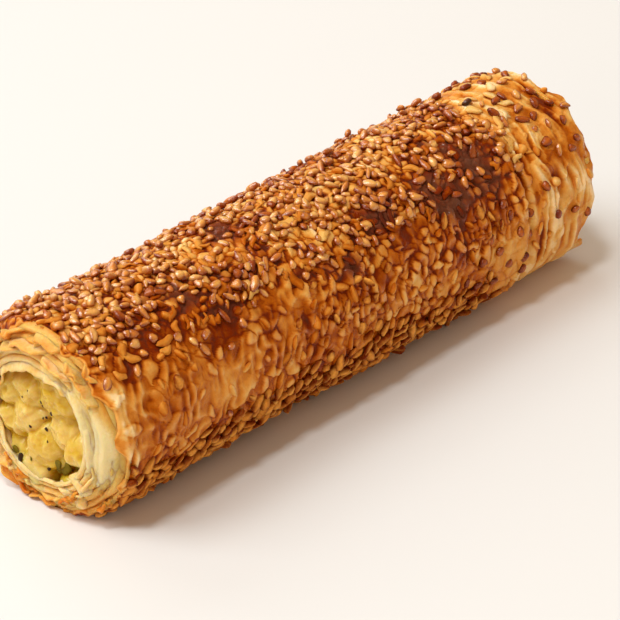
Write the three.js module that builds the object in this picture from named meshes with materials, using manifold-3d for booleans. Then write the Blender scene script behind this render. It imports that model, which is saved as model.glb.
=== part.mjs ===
// Borek roll: rolled flaky pastry round a potato filling, with sesame baked onto its crust.
// Millimetres, +Z up. The roll lies along X on its flattened underside, with its shown end at -X.
// Angles round the roll start at the top and grow towards -Y.
import * as THREE from "three";
import { mergeVertices } from "three/addons/utils/BufferGeometryUtils.js";
import Module from "manifold-3d";

const wasm = await Module();
wasm.setup();

// Driving dimensions
const rollLength = 150;
const crustRadius = 21.2;
const footDrop = 1.1; // how far the underside is pressed flat
const fillingRadius = 13.4;
const fillingGap = 0.3; // between the filling and the pastry round it

// Rolled sheets that fan out at each end, counted from the filling outwards
const sheetCount = 4;
const sheetEdge = 0.16; // share of a sheet's thickness taken by each rounded edge
const sheetSway = 0.06; // how far the sheets wander in and out, as a share of the wall
const grooveDepth = 1.7; // how deep the gaps between the sheets run in
const lipChamfer = 0.8;
const flapAngle = THREE.MathUtils.degToRad(98); // middle of the broad flap that closes the gaps
const flapClosing = 0.75; // share of the groove's depth that the flap fills

// Each end: the sheets' setbacks, the extra setback under the flap, and the crust's round-off
const nearEnd = {
  side: -1,
  setbacks: [0.5, 0, 1.4, 2.8],
  flapSetbacks: [0, 0, 0.8, 2.2],
  waviness: 1.0,
  rounding: { length: 6, drop: 1.3 },
  lumpRecess: 1.6,
};
const farEnd = {
  side: 1,
  setbacks: [0.9, 0, 0.9, 2.2],
  flapSetbacks: [0, 0, 0.4, 1.0],
  waviness: 0.8,
  rounding: { length: 10, drop: 2.6 },
  lumpRecess: 2.2,
};

// The pinched waist near the far end, and the low seam ridge before it
const waist = { x: 53, depth: 1.0, width: 2.6, start: 47 };
const seam = { x: 33, height: 0.5, width: 3.0, slant: 4 };
const stretchFolds = { height: 0.3, pitch: 5.5 }; // wrinkles beyond the waist

// Hand-rolled unevenness of the crust
const lumps = { count: 6, height: 0.5, shortest: 26, longest: 70, mostRound: 4 };

// Sesame seeds
const seedSize = new THREE.Vector3(3.3, 2.1, 1.3);
const seedSunk = 0.32; // share of a seed's thickness below the crust
const seedCount = 170;
const seedSpan = THREE.MathUtils.degToRad(142); // seeds reach this far down each side
const seedMargins = { near: 7, far: 9, waist: 3.5 };
const seedTilt = 0.35;

// Potato lumps that show at each end of the filling
const potato = { ringCount: 6, ringRadius: 8.2, radius: 5.8, spread: 1.6, stretch: 0.5, squeeze: 0.7 };
const coreRecess = 5;

// Facets
const sectors = 40;
const bodyRows = 22; // rows along the crust up to the waist
const waistRows = 11; // closer rows from the waist to the far end
const lumpDetail = 2;
const coreSectors = 40;

const boreRadius = fillingRadius + fillingGap;
const axisHeight = crustRadius - footDrop;
const halfLength = rollLength / 2;
const fullTurn = 2 * Math.PI;
const goldenShare = (Math.sqrt(5) - 1) / 2;

const crustMaterial = new THREE.MeshStandardMaterial({ color: 0xc8843c, roughness: 0.45, metalness: 0 });
const potatoMaterial = new THREE.MeshStandardMaterial({ color: 0xe3c566, roughness: 0.5, metalness: 0 });

// Repeatable random numbers from 0 to 1
function seededRandom(seed) {
  let state = seed;
  return () => {
    state = (state + 0x6d2b79f5) | 0;
    let bits = Math.imul(state ^ (state >>> 15), 1 | state);
    bits = (bits + Math.imul(bits ^ (bits >>> 7), 61 | bits)) ^ bits;
    return ((bits ^ (bits >>> 14)) >>> 0) / 4294967296;
  };
}

const bell = (t) => Math.exp(-t * t);
const between = (low, high, share) => low + (high - low) * share;

// A closed geometry as a solid, and back
function toSolid(geometry) {
  const bare = geometry.clone();
  bare.deleteAttribute("normal");
  bare.deleteAttribute("uv");
  const merged = mergeVertices(bare);
  const vertProperties = new Float32Array(merged.attributes.position.array);
  const triVerts = new Uint32Array(merged.index.array);
  return new wasm.Manifold(new wasm.Mesh({ numProp: 3, vertProperties, triVerts }));
}

function toGeometry(solid) {
  const mesh = solid.getMesh();
  const geometry = new THREE.BufferGeometry();
  geometry.setAttribute("position", new THREE.BufferAttribute(mesh.vertProperties, 3));
  geometry.setIndex(new THREE.BufferAttribute(mesh.triVerts, 1));
  geometry.computeVertexNormals();
  return geometry;
}

// The crust's radius anywhere on the roll
const lumpRandom = seededRandom(7);
const lumpWaves = Array.from({ length: lumps.count }, () => ({
  along: fullTurn / between(lumps.shortest, lumps.longest, lumpRandom()),
  round: Math.ceil(lumps.mostRound * lumpRandom()),
  phase: fullTurn * lumpRandom(),
}));

function roundOff(x, end) {
  const fromEnd = Math.max(0, halfLength - end.side * x);
  const share = Math.max(0, 1 - fromEnd / end.rounding.length);
  return end.rounding.drop * (1 - Math.sqrt(1 - share * share));
}

function crustRadiusAt(x, angle) {
  let radius = crustRadius;
  for (const wave of lumpWaves) {
    const height = lumps.height / lumps.count;
    radius += height * Math.sin(wave.along * x + wave.round * angle + wave.phase);
  }
  radius -= waist.depth * bell((x - waist.x) / waist.width);
  radius += seam.height * bell((x - seam.x - seam.slant * Math.sin(angle)) / seam.width);
  if (x > waist.x) {
    radius += stretchFolds.height * Math.sin((fullTurn * (x - waist.x)) / stretchFolds.pitch);
  }
  return radius - roundOff(x, nearEnd) - roundOff(x, farEnd);
}

// How far along X a sheet's edge lies, wavy round the roll
function sheetEnd(end, sheet, angle) {
  const flap = Math.max(0, Math.cos(angle - flapAngle)) ** 2;
  const slowWave = Math.sin((2 + sheet) * angle + 1.9 * sheet + end.side);
  const quickWave = Math.sin((7 - sheet) * angle + 2.6 * sheet - end.side);
  const wave = end.waviness * (0.6 * slowWave + 0.4 * quickWave);
  const setback = end.setbacks[sheet] + end.flapSetbacks[sheet] * flap;
  return end.side * (halfLength - setback - wave);
}

// A point in the wall at an end, at a share of the way from the filling to the crust
function wallPoint(end, x, share, angle) {
  const outer = crustRadiusAt(x, angle);
  const sway = sheetSway * Math.sin(5 * angle + 4 * share + end.side) * Math.sin(Math.PI * share);
  return { x, radius: between(boreRadius, outer, share + sway) };
}

// One end's rows from the bore out to the crust: a two-cornered edge for each sheet, with gaps between
function endRows(end) {
  const rows = [(angle) => ({ x: sheetEnd(end, 0, angle) - end.side * lipChamfer, radius: boreRadius })];
  for (let sheet = 0; sheet < sheetCount; sheet++) {
    for (const edge of [sheetEdge, 1 - sheetEdge]) {
      const share = (sheet + edge) / sheetCount;
      rows.push((angle) => wallPoint(end, sheetEnd(end, sheet, angle), share, angle));
    }
    if (sheet < sheetCount - 1) {
      rows.push((angle) => {
        const flap = Math.max(0, Math.cos(angle - flapAngle)) ** 2;
        const reach = [sheetEnd(end, sheet, angle), sheetEnd(end, sheet + 1, angle)];
        const shorter = Math.min(...reach.map((x) => end.side * x));
        const x = end.side * (shorter - grooveDepth * (1 - flapClosing * flap));
        return wallPoint(end, x, (sheet + 1) / sheetCount, angle);
      });
    }
  }
  return rows;
}

function crustOuterRows() {
  const rows = [];
  const addRow = (place) =>
    rows.push((angle) => {
      const x = place(angle);
      return { x, radius: crustRadiusAt(x, angle) };
    });
  const first = (angle) => sheetEnd(nearEnd, sheetCount - 1, angle) + lipChamfer;
  const last = (angle) => sheetEnd(farEnd, sheetCount - 1, angle) - lipChamfer;
  for (let row = 0; row < bodyRows; row++) {
    addRow((angle) => between(first(angle), waist.start, row / bodyRows));
  }
  for (let row = 0; row < waistRows; row++) {
    addRow((angle) => between(waist.start, last(angle), row / (waistRows - 1)));
  }
  return rows;
}

// The rolled pastry as one closed profile turned round the roll, each row shifted by its own waves
function rolledPastry() {
  const rows = [...endRows(nearEnd), ...crustOuterRows(), ...endRows(farEnd).reverse()];
  const profile = [...rows, rows[0]].map((row) => new THREE.Vector2(row(0).radius, row(0).x));
  const geometry = new THREE.LatheGeometry(profile, sectors);
  const position = geometry.attributes.position;
  for (let sector = 0; sector <= sectors; sector++) {
    const angle = (fullTurn * (sector % sectors)) / sectors;
    profile.forEach((_, index) => {
      const { x, radius } = rows[index % rows.length](angle);
      const vertex = sector * profile.length + index;
      position.setXYZ(vertex, x, -radius * Math.sin(angle), axisHeight + radius * Math.cos(angle));
    });
  }
  return toSolid(geometry);
}

// A sesame seed lying on the crust, turned any way and tilted a little
function seedSolid(x, angle, random) {
  const outward = new THREE.Vector3(0, -Math.sin(angle), Math.cos(angle));
  const alongRoll = new THREE.Vector3(1, 0, 0);
  const lengthways = alongRoll.applyAxisAngle(outward, fullTurn * random());
  const sideways = new THREE.Vector3().crossVectors(outward, lengthways);
  const turn = new THREE.Matrix4().makeBasis(lengthways, sideways, outward);
  const tilt = new THREE.Matrix4().makeRotationY(seedTilt * (random() - 0.5));
  const size = between(0.9, 1.1, random());
  const lift = seedSize.z * (0.5 - seedSunk);
  const place = outward.clone().multiplyScalar(crustRadiusAt(x, angle) + lift);
  const geometry = new THREE.IcosahedronGeometry(size / 2, 0);
  geometry.scale(seedSize.x, seedSize.y, seedSize.z);
  geometry.applyMatrix4(turn.multiply(tilt));
  geometry.translate(x, place.y, axisHeight + place.z);
  return toSolid(geometry);
}

function sesame() {
  const random = seededRandom(21);
  const seeds = [];
  const first = -halfLength + seedMargins.near;
  const last = halfLength - seedMargins.far;
  for (let index = 0; index < seedCount; index++) {
    const x = between(first, last, (index + 0.5) / seedCount);
    const angle = between(-seedSpan, seedSpan, (index * goldenShare) % 1);
    if (Math.abs(x - waist.x) > seedMargins.waist) {
      seeds.push(seedSolid(x, angle, random));
    }
  }
  return seeds;
}

// Everything below the tabletop, to press the roll's underside flat
function tabletop() {
  const depth = crustRadius;
  const geometry = new THREE.BoxGeometry(2 * rollLength, 4 * crustRadius, depth);
  geometry.translate(0, 0, -depth / 2);
  return toSolid(geometry);
}

function pastryGeometry() {
  const seeded = wasm.Manifold.union([rolledPastry(), ...sesame()]);
  return toGeometry(seeded.subtract(tabletop()));
}

// The filling: a core through the whole roll, with potato lumps at both ends
function rodAlongRoll(length) {
  const geometry = new THREE.CylinderGeometry(fillingRadius, fillingRadius, length, coreSectors);
  geometry.rotateZ(Math.PI / 2);
  geometry.translate(0, 0, axisHeight);
  return toSolid(geometry);
}

function potatoLump(end, ringRadius, angle, random) {
  const size = potato.radius + potato.spread * (random() - 0.5);
  const stretch = 1 + potato.stretch * (random() - 0.5);
  const geometry = new THREE.IcosahedronGeometry(size, lumpDetail);
  geometry.scale(potato.squeeze, stretch, 1 / stretch);
  geometry.rotateX(fullTurn * random());
  const depth = end.lumpRecess * (0.6 + 0.8 * random()) + potato.squeeze * size;
  const x = end.side * (halfLength - depth);
  geometry.translate(x, -ringRadius * Math.sin(angle), axisHeight + ringRadius * Math.cos(angle));
  return toSolid(geometry);
}

function potatoLumps(end, random) {
  const found = [potatoLump(end, 0, 0, random)];
  for (let index = 0; index < potato.ringCount; index++) {
    const angle = (fullTurn * (index + 0.5 * random())) / potato.ringCount;
    found.push(potatoLump(end, potato.ringRadius, angle, random));
  }
  return found;
}

function fillingGeometry() {
  const random = seededRandom(5);
  const ends = wasm.Manifold.union([nearEnd, farEnd].flatMap((end) => potatoLumps(end, random)));
  const core = rodAlongRoll(rollLength - 2 * coreRecess);
  return toGeometry(core.add(ends.intersect(rodAlongRoll(rollLength))));
}

const borekRoll = new THREE.Group();
for (const [name, geometry, material] of [
  ["pastry", pastryGeometry(), crustMaterial],
  ["filling", fillingGeometry(), potatoMaterial],
]) {
  const mesh = new THREE.Mesh(geometry, material);
  mesh.name = name;
  borekRoll.add(mesh);
}

// The origin is the middle of the underside of the roll's box
const box = new THREE.Box3().setFromObject(borekRoll);
const middle = box.getCenter(new THREE.Vector3());
borekRoll.position.set(-middle.x, -middle.y, -box.min.z);

export default borekRoll;
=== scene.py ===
# Borek roll: egg-washed flaky pastry under sesame, open at both ends round a potato filling.
# Shapes are worked out in millimetres round the roll's axis and made in metres.
# Angles round the roll are degrees from the top, growing towards the shown side (-Y).
import math
from itertools import product
import bmesh
import bpy
import numpy as np
from mathutils import Matrix, Vector
from mathutils.kdtree import KDTree


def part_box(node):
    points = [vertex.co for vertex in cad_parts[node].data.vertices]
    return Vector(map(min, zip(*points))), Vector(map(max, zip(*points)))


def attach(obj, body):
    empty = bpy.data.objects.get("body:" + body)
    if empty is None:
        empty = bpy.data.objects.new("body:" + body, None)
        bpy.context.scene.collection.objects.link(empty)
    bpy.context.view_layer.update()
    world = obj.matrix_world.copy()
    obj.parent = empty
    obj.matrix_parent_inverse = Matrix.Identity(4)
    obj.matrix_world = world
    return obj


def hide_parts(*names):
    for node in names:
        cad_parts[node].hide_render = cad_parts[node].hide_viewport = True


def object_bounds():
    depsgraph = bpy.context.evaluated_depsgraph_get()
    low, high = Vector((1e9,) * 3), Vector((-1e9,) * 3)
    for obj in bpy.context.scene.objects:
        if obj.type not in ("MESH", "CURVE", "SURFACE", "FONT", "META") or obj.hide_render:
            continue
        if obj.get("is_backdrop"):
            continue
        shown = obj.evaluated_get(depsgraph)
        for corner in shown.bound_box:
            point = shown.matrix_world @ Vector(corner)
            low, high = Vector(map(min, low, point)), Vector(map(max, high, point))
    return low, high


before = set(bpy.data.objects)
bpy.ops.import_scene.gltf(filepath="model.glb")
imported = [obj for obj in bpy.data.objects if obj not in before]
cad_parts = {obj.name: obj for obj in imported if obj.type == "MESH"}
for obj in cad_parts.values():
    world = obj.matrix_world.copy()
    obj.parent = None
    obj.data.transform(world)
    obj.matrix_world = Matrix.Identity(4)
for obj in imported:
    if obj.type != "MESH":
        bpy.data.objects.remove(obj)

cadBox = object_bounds()
mm = 0.001
fillLow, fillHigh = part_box("filling")
pastryLow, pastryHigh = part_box("pastry")
axisY = (fillLow.y + fillHigh.y) / 2 / mm
axisZ = (fillLow.z + fillHigh.z) / 2 / mm
boreRadius = (fillHigh.y - fillLow.y) / 2 / mm
nearX = pastryLow.x / mm
farX = pastryHigh.x / mm
crustRadius = axisZ + 1.1  # the foot is pressed flat by this much
wall = crustRadius - boreRadius
print("frame: axis at", round(axisY, 2), round(axisZ, 2), "ends at", round(nearX, 2), round(farX, 2))


# small helpers on arrays
def fade(low, high, value):
    share = np.clip((value - low) / (high - low), 0, 1)
    return share * share * (3 - 2 * share)


def bell(value):
    return np.exp(-np.square(value))


def hump(value):
    return np.sqrt(np.clip(1 - np.square(value), 0, 1))


# parts added up, each by its own amount
def blend(amounts, parts):
    return sum(amount * part for amount, part in zip(amounts, parts))


# two directions turned by an angle, the first towards the second
def turned(first, second, angle):
    return first * np.cos(angle) + second * np.sin(angle), second * np.cos(angle) - first * np.sin(angle)


# smooth noise from -1 to 1 at points given as an (n, 3) array
def grain(points, seed):
    base = np.floor(points).astype(np.int64)
    part = points - base
    part = part * part * (3 - 2 * part)
    total = np.zeros(len(points))
    for corner in product((0, 1), repeat=3):
        cell = base + np.array(corner)
        code = cell[:, 0] * 73856093 ^ cell[:, 1] * 19349663 ^ cell[:, 2] * 83492791 ^ (seed + 1) * 26544357
        code = (code ^ (code >> 13)) * 1274126177 & 0xFFFFFFFF
        code = (code ^ (code >> 16)) * 668265263 & 0xFFFFFFFF
        value = ((code >> 8) & 0xFFFF) / 32767.5 - 1
        weight = np.prod(np.where(np.array(corner) == 1, part, 1 - part), axis=1)
        total += weight * value
    return total


# a place round the roll, in millimetres in the frame
def onRoll(x, deg, radius):
    turn = np.radians(deg)
    x, turn, radius = np.broadcast_arrays(x, turn, radius)
    return np.stack([x, axisY - radius * np.sin(turn), axisZ + radius * np.cos(turn)], axis=-1)


# noise on the roll, with its own grain size along the roll and round it
def rollGrain(x, deg, along, around, seed):
    turn = np.radians(deg)
    across, up = crustRadius * np.sin(turn) / around, crustRadius * np.cos(turn) / around
    points = np.stack([x / along, across, up], axis=-1)
    return grain(points.reshape(-1, 3) + 50.5, seed).reshape(np.shape(x))


# noise that is the same all along the roll
def roundGrain(deg, around, seed):
    return rollGrain(np.zeros_like(deg), deg, 1, around, seed)


def linked(name, data):
    holder = bpy.data.objects.new(name, data)
    bpy.context.scene.collection.objects.link(holder)
    return holder


def meshPiece(name, points, faces, values, material):
    mesh = bpy.data.meshes.new(name)
    points = np.asarray(points).reshape(-1, 3)
    points[:, 2] = np.maximum(points[:, 2], 0.02)  # nothing sinks under the resting plane
    mesh.from_pydata((points * mm).tolist(), [], faces)
    mesh.update()
    mesh.polygons.foreach_set("use_smooth", [True] * len(mesh.polygons))
    for key, data in values.items():
        layer = mesh.attributes.new(key, "FLOAT", "POINT")
        layer.data.foreach_set("value", np.asarray(data, dtype=np.float32).ravel())
    mesh.materials.append(material)
    piece = linked(name, mesh)
    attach(piece, "root")
    print(name, "has", sum(len(p.vertices) - 2 for p in mesh.polygons), "triangles")
    return piece


def pastryPiece(name, points, faces, values, material):
    piece = meshPiece(name, points, faces, values, material)
    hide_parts("pastry")
    return piece


# faces of a grid of points, wrapped in either direction
def gridFaces(rows, columns, wrapRows=False, wrapColumns=False, start=0):
    faces = []
    for i in range(rows if wrapRows else rows - 1):
        for j in range(columns if wrapColumns else columns - 1):
            i2, j2 = (i + 1) % rows, (j + 1) % columns
            faces.append([start + a * columns + b for a, b in ((i, j), (i, j2), (i2, j2), (i2, j))])
    return faces


def nodeMath(operation, swapped=False):
    def apply(self, other):
        return self.math(operation, *((other, self) if swapped else (self, other)))
    return apply


# a socket that takes Python's operators, and adds any other node by its type, sockets and settings
class Wire:
    __add__, __radd__ = nodeMath("ADD"), nodeMath("ADD", True)
    __sub__, __rsub__ = nodeMath("SUBTRACT"), nodeMath("SUBTRACT", True)
    __mul__, __pow__ = nodeMath("MULTIPLY"), nodeMath("POWER")

    def __init__(self, tree, socket=None):
        self.tree, self.socket = tree, socket

    def add(self, kind, sockets, output=0, **settings):
        node = self.tree.nodes.new(kind)
        for key, value in settings.items():
            setattr(node, key, value)
        for key, value in sockets.items():
            if isinstance(value, Wire):
                self.tree.links.new(value.socket, node.inputs[key])
            else:
                node.inputs[key].default_value = value
        return Wire(self.tree, node.outputs[output])

    def math(self, operation, first, second):
        return self.add("ShaderNodeMath", {0: first, 1: second}, operation=operation)

    def clamp(self):
        return self.add("ShaderNodeClamp", {"Value": self})

    def mixed(self, first, second):
        return self.add("ShaderNodeMix", {0: self, 6: first, 7: second}, 2, data_type="RGBA")

    def ramp(self, stops):
        wire = self.add("ShaderNodeValToRGB", {0: self})
        elements = wire.socket.node.color_ramp.elements
        while len(elements) < len(stops):
            elements.new(0.5)
        for element, (place, colour) in zip(elements, stops):
            element.position = place
            element.color = (*colour, 1)
        return wire

    def value(self, name):
        return self.add("ShaderNodeAttribute", {}, 2, attribute_name=name)

    def noise(self, size, detail=3.0):
        where = self.add("ShaderNodeTexCoord", {}, 3)
        sockets = {"Vector": where, "Scale": 1 / (size * mm), "Detail": detail, "Roughness": 0.55}
        return self.add("ShaderNodeTexNoise", sockets)

    def bump(self, height, depth, strength):
        sockets = {"Strength": strength, "Distance": depth * mm, "Height": height}
        return self.add("ShaderNodeBump", sockets)


def finish(name, paint, fixed):
    material = bpy.data.materials.new(name)
    material.use_nodes = True
    tree = material.node_tree
    shader = tree.nodes["Principled BSDF"]
    for key, value in fixed.items():
        shader.inputs[key].default_value = value
    for key, wire in paint(Wire(tree)).items():
        tree.links.new(wire.socket, shader.inputs[key])
    return material


# baked dough, from pale cream to burnt
doughStops = [
    (0.0, (0.98, 0.67, 0.33)),
    (0.16, (0.85, 0.47, 0.125)),
    (0.36, (0.74, 0.275, 0.036)),
    (0.56, (0.5, 0.112, 0.004)),
    (0.76, (0.22, 0.021, 0.0)),
    (1.0, (0.115, 0.021, 0.009)),
]
charred = (0.15, 0.044, 0.02)
warmGlint = (1.0, 0.62, 0.26, 1)


# set values of a finish: how much light sinks in and how far in metres, the shine and its tint, the coat
def softLook(weight, reach, shine, tint, coat=0.0, coatRough=0.03):
    return {
        "Subsurface Weight": weight, "Subsurface Radius": reach, "Subsurface Scale": 1.0,
        "Specular IOR Level": shine, "Specular Tint": tint, "Coat Weight": coat, "Coat Roughness": coatRough,
    }


def doughPaint(patch, fine, spread):
    def paint(wire):
        blotch = wire.noise(patch) - 0.5
        speckle = wire.noise(fine, 2.0) - 0.5
        bakeAndShade = (wire.value("bakeAndShade") + blotch * spread + speckle * 0.14).clamp()
        char = (wire.value("char") * (1.0 + speckle * 1.5)).clamp()
        return {
            "Base Color": char.mixed(bakeAndShade.ramp(doughStops), (*charred, 1)),
            "Roughness": 0.34 - bakeAndShade * 0.1 + speckle * 0.2,
            "Coat Weight": (wire.value("gloss") + speckle * 0.3).clamp(),
            "Normal": wire.bump(speckle + blotch * 0.5, 0.3, 0.6),
        }
    return paint


crustSoft = softLook(0.12, (0.0012, 0.0004, 0.0001), 0.14, warmGlint, coatRough=0.16)
sheetSoft = softLook(0.5, (0.0024, 0.0012, 0.0004), 0.24, warmGlint)
crustFinish = finish("egg_washed_crust", doughPaint(4.0, 0.7, 0.2), crustSoft)
sheetFinish = finish("flaky_sheets", doughPaint(2.6, 0.6, 0.16), sheetSoft)


def potatoPaint(wire):
    blotch = wire.noise(3.0) - 0.5
    fine = wire.noise(0.6, 3.0) - 0.5
    tone = (wire.value("tone") + blotch * 0.4 + fine * 0.15).clamp()
    # tone runs from the painted shade of deep hollows to the pale crests
    colour = tone.ramp([
        (0.0, (0.4, 0.18, 0.001)),
        (0.5, (0.64, 0.385, 0.022)),
        (1.0, (0.76, 0.535, 0.17)),
    ])
    return {
        "Base Color": colour,
        "Roughness": 0.24 + fine * 0.3,
        "Normal": wire.bump(fine * 0.5 + blotch, 0.3, 0.4),
    }


potatoSoft = softLook(0.75, (0.005, 0.003, 0.0007), 0.36, (1.0, 0.91, 0.64, 1), 0.2, 0.14)
potatoFinish = finish("cooked_potato", potatoPaint, potatoSoft)


def specksFinish(name, colour, rough):
    def paint(wire):
        fine = wire.noise(0.4, 2.0)
        dark = tuple(c * 0.45 for c in colour)
        return {
            "Base Color": fine.mixed((*dark, 1), (*colour, 1)),
            "Roughness": rough + fine * 0.2,
        }
    return finish(name, paint, {
        "Subsurface Weight": 0.1, "Subsurface Radius": (0.001, 0.001, 0.0005), "Specular IOR Level": 0.15,
    })


# a seed is darker at its edges and underside, which is painted shade, and browner towards its pointed tip;
# toast tells the seeds apart
def seedFinish(name, pale, deep, rim, shine, coat):
    def paint(wire):
        fine = wire.noise(0.6, 2.0) - 0.5
        body = (wire.value("toast") + fine * 0.9).clamp().mixed((*pale, 1), (*deep, 1))
        # painted shade: the rim colour darkens the seed's edges and underside
        edge = ((wire.value("rim") + fine * 0.5).clamp() ** 1.4).clamp()
        return {
            "Base Color": edge.mixed(body, (*rim, 1)),
            "Roughness": 0.25 + fine * 0.25,
            "Normal": wire.bump(fine, 0.25, 0.6),
        }
    seedSoft = softLook(0.2, (0.0009, 0.0004, 0.0001), shine, (1.0, 0.94, 0.86, 1), coat, 0.22)
    return finish(name, paint, seedSoft)


print("finishes made")

# where the crust is what: dense seeds on top, skinned dough down the sides, standing seeds low down
zone = {
    "topEnd": (42, 62), "lowStart": (94, 116), "waistX": 53.0, "seamX": 33.0, "seamSlant": 4.0,
    "wander": (9, 7), "farLean": 19,
}


def zones(x, deg):
    wander = rollGrain(x, deg, 12, 12, 3)
    down = np.abs(deg) + zone["wander"][0] * wander + zone["wander"][1] * rollGrain(x, deg, 4, 4, 25)
    top = 1 - fade(*zone["topEnd"], down)
    low = fade(*zone["lowStart"], down)
    start = zone["waistX"] - 1.5 - zone["farLean"] * fade(62, 102, down)
    far = fade(start, zone["waistX"] + 1.5, x + 2 * wander)
    return top, 1 - top - low, low, far


# one value for each zone, blended where zones meet
def zoned(values, top, side, low):
    return values["top"] * top + values["side"] * side + values["low"] * low


# burnt and pale patches on the crust: place along, angle, half length, half angle, change of bake
patches = [
    (42, 38, 6.5, 15, 0.5), (27, 38, 6, 12, 0.42), (31, 55, 6, 9, 0.44), (44, 55, 4, 7, 0.24),
    (10, 42, 6, 7, 0.36), (-3, 55, 4, 7, 0.36), (-21, -4, 6, 11, 0.34), (-48, 16, 7, 9, 0.32),
    (-43, 30, 4, 7, 0.32), (-17, 30, 3.5, 6, 0.2), (-52, -12, 5, 5, 0.24), (-38, 45, 5, 6, 0.22),
    (45, -12, 6, 8, 0.14), (36, 12, 5, 6, 0.24), (-60, 48, 9, 8, 0.14), (61, 50, 3, 12, 0.26),
    (70, 46, 4.5, 22, 0.48), (72, 8, 3, 12, 0.22), (61, 24, 3, 7, 0.12), (66, 92, 3, 6, 0.1),
    (-33, 24, 6, 8, 0.16), (-14, 47, 5, 6, 0.22), (58, 78, 5, 14, 0.1), (-8, 74, 9, 9, 0.07),
    (-44, 83, 7.5, 13, -0.2), (-69, 72, 4.5, 30, -0.22), (9, 80, 3, 9, -0.07), (-30, 80, 8, 14, -0.06),
    (-10, 95, 5, 10, -0.1), (28, 96, 5, 9, -0.12), (70, 18, 4, 8, -0.12), (70, 100, 7, 18, -0.24),
    (70, 75, 4, 10, -0.1), (0, 103, 4, 8, -0.08), (17, 49, 4, 8, -0.2), (-4, 24, 6, 12, -0.22),
    (-23, 15, 5, 12, 0.12), (38, 22, 4, 7, 0.2), (7, 32, 4, 5, 0.14), (-35, 32, 4, 5, 0.12),
    (28, -13, 4, 7, -0.14), (59, 17, 3.5, 10, -0.15), (-46, 49, 4, 6, -0.14), (-13, 17, 4, 7, -0.12),
    (-27, -14, 5, 5, -0.14), (44, 100, 7, 12, -0.14), (39, 4, 4, 6, -0.1), (-69, -5, 6, 20, -0.08),
    (37, 47, 2.6, 5, -0.2), (-25, 48, 4, 6, -0.18), (-14, 62, 4, 6, -0.1), (28, -12, 5, 6, -0.1),
    (38, -14, 5, 6, -0.12), (-50, -14, 8, 5, -0.1), (-12, -40, 7, 14, 0.34), (35, -46, 8, 12, 0.38),
    (-48, -55, 8, 12, 0.24), (10, -85, 12, 16, -0.12), (-40, -88, 12, 14, -0.12), (14, -30, 5, 9, 0.28),
    (62, -50, 5, 16, 0.26),
]


# how far a blob with a ragged edge covers a place
def blob(x, deg, ragged, placeX, placeDeg, along, around):
    return bell(np.hypot((x - placeX) / along, (deg - placeDeg) / around) + ragged)


# how burnt and how pale the patches make a place
def patchwork(x, deg):
    ragged = 0.28 * rollGrain(x, deg, 3.5, 3.5, 13) + 0.2 * rollGrain(x, deg, 1.5, 1.5, 24)
    burnt, pale = 0, 0
    for *place, change in patches:
        share = blob(x, deg, ragged, *place)
        burnt, pale = burnt + max(change, 0) * share, pale + max(-change, 0) * share
    return burnt, pale


# the browner glaze along the shoulders, and its broad smooth places: along, angle, half length, half angle
glazed = [(-53, 43, 14, 11), (-30, -45, 12, 12), (24, -58, 10, 11)]


def glaze(x, deg):
    streaks = fade(0.05, 0.4, rollGrain(x, deg, 6, 5, 23)) * bell((np.abs(deg) - 57) / 13)
    ragged = 0.3 * rollGrain(x, deg, 3.5, 3.5, 13)
    broad = sum(blob(x, deg, ragged, *place) for place in glazed)
    return np.clip(streaks + 0.9 * broad, 0, 1)


# where the skin is smooth: the pale patches, and the glaze where it is not burnt
def smoothness(x, deg):
    burnt, pale = patchwork(x, deg)
    calm = 4.5 * pale * (1 - zones(x, deg)[0])
    calm += 0.5 * bell((np.abs(deg) - 80) / 22) * (1 - fade(-38, -8, x))
    return np.clip(calm + 0.6 * glaze(x, deg) * (1 - fade(0.18, 0.4, burnt)), 0, 1)


# how baked each zone is, with painted light and shade: the low zone's darker bake is painted shade between
# the low seeds, the paler crown is a painted highlight along the ridge; the start of the low seeds is paler,
# the underside is browner
zoneBakeAndShade = {
    "top": 0.51, "side": 0.51, "low": 0.65, "far": 0.23, "glaze": 0.1, "litCrown": 0.11, "lowEdge": 0.07,
    "under": 0.15,
}


def bakeAndShadeAt(x, deg):
    top, side, low, far = zones(x, deg)
    # painted shade: the low zone is baked darker
    bakeAndShade = zoned(zoneBakeAndShade, top, side, low) + zoneBakeAndShade["glaze"] * glaze(x, deg)
    # painted highlight: the crown is paler along the ridge
    bakeAndShade -= zoneBakeAndShade["litCrown"] * bell((deg + 5) / 24) * fade(-66, -50, x)
    bakeAndShade -= zoneBakeAndShade["lowEdge"] * bell((np.abs(deg) - 106) / 12)
    bakeAndShade = bakeAndShade * (1 - far) + far * (zoneBakeAndShade["far"] + 0.05 * fade(72, 100, np.abs(deg)))
    burnt, pale = patchwork(x, deg)
    bakeAndShade = bakeAndShade + burnt - pale
    blotch, spot = rollGrain(x, deg, 9, 9, 11), rollGrain(x, deg, 3.2, 4.5, 12)
    bakeAndShade = bakeAndShade + (0.1 + 0.04 * top) * blotch + (0.07 + 0.09 * top) * spot
    return bakeAndShade + zoneBakeAndShade["under"] * fade(150, 168, np.abs(deg))


# how far the broad flap on the shown side sets the layers back
flapMiddle = 96


def flapped(deg):
    return np.clip(np.cos(np.radians(deg - flapMiddle)), 0, 1) ** 2


# how far the crust drops as it rounds over towards an end
def roundOff(fromEnd, drop):
    share = np.clip(1 - fromEnd / relief["roundBack"], 0, 1)
    return drop * (1 - np.sqrt(1 - share * share))


# noise folded into ridges
def ridged(x, deg, along, around, seed, steep):
    return 1 - steep * np.abs(rollGrain(x, deg, along, around, seed))


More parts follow.
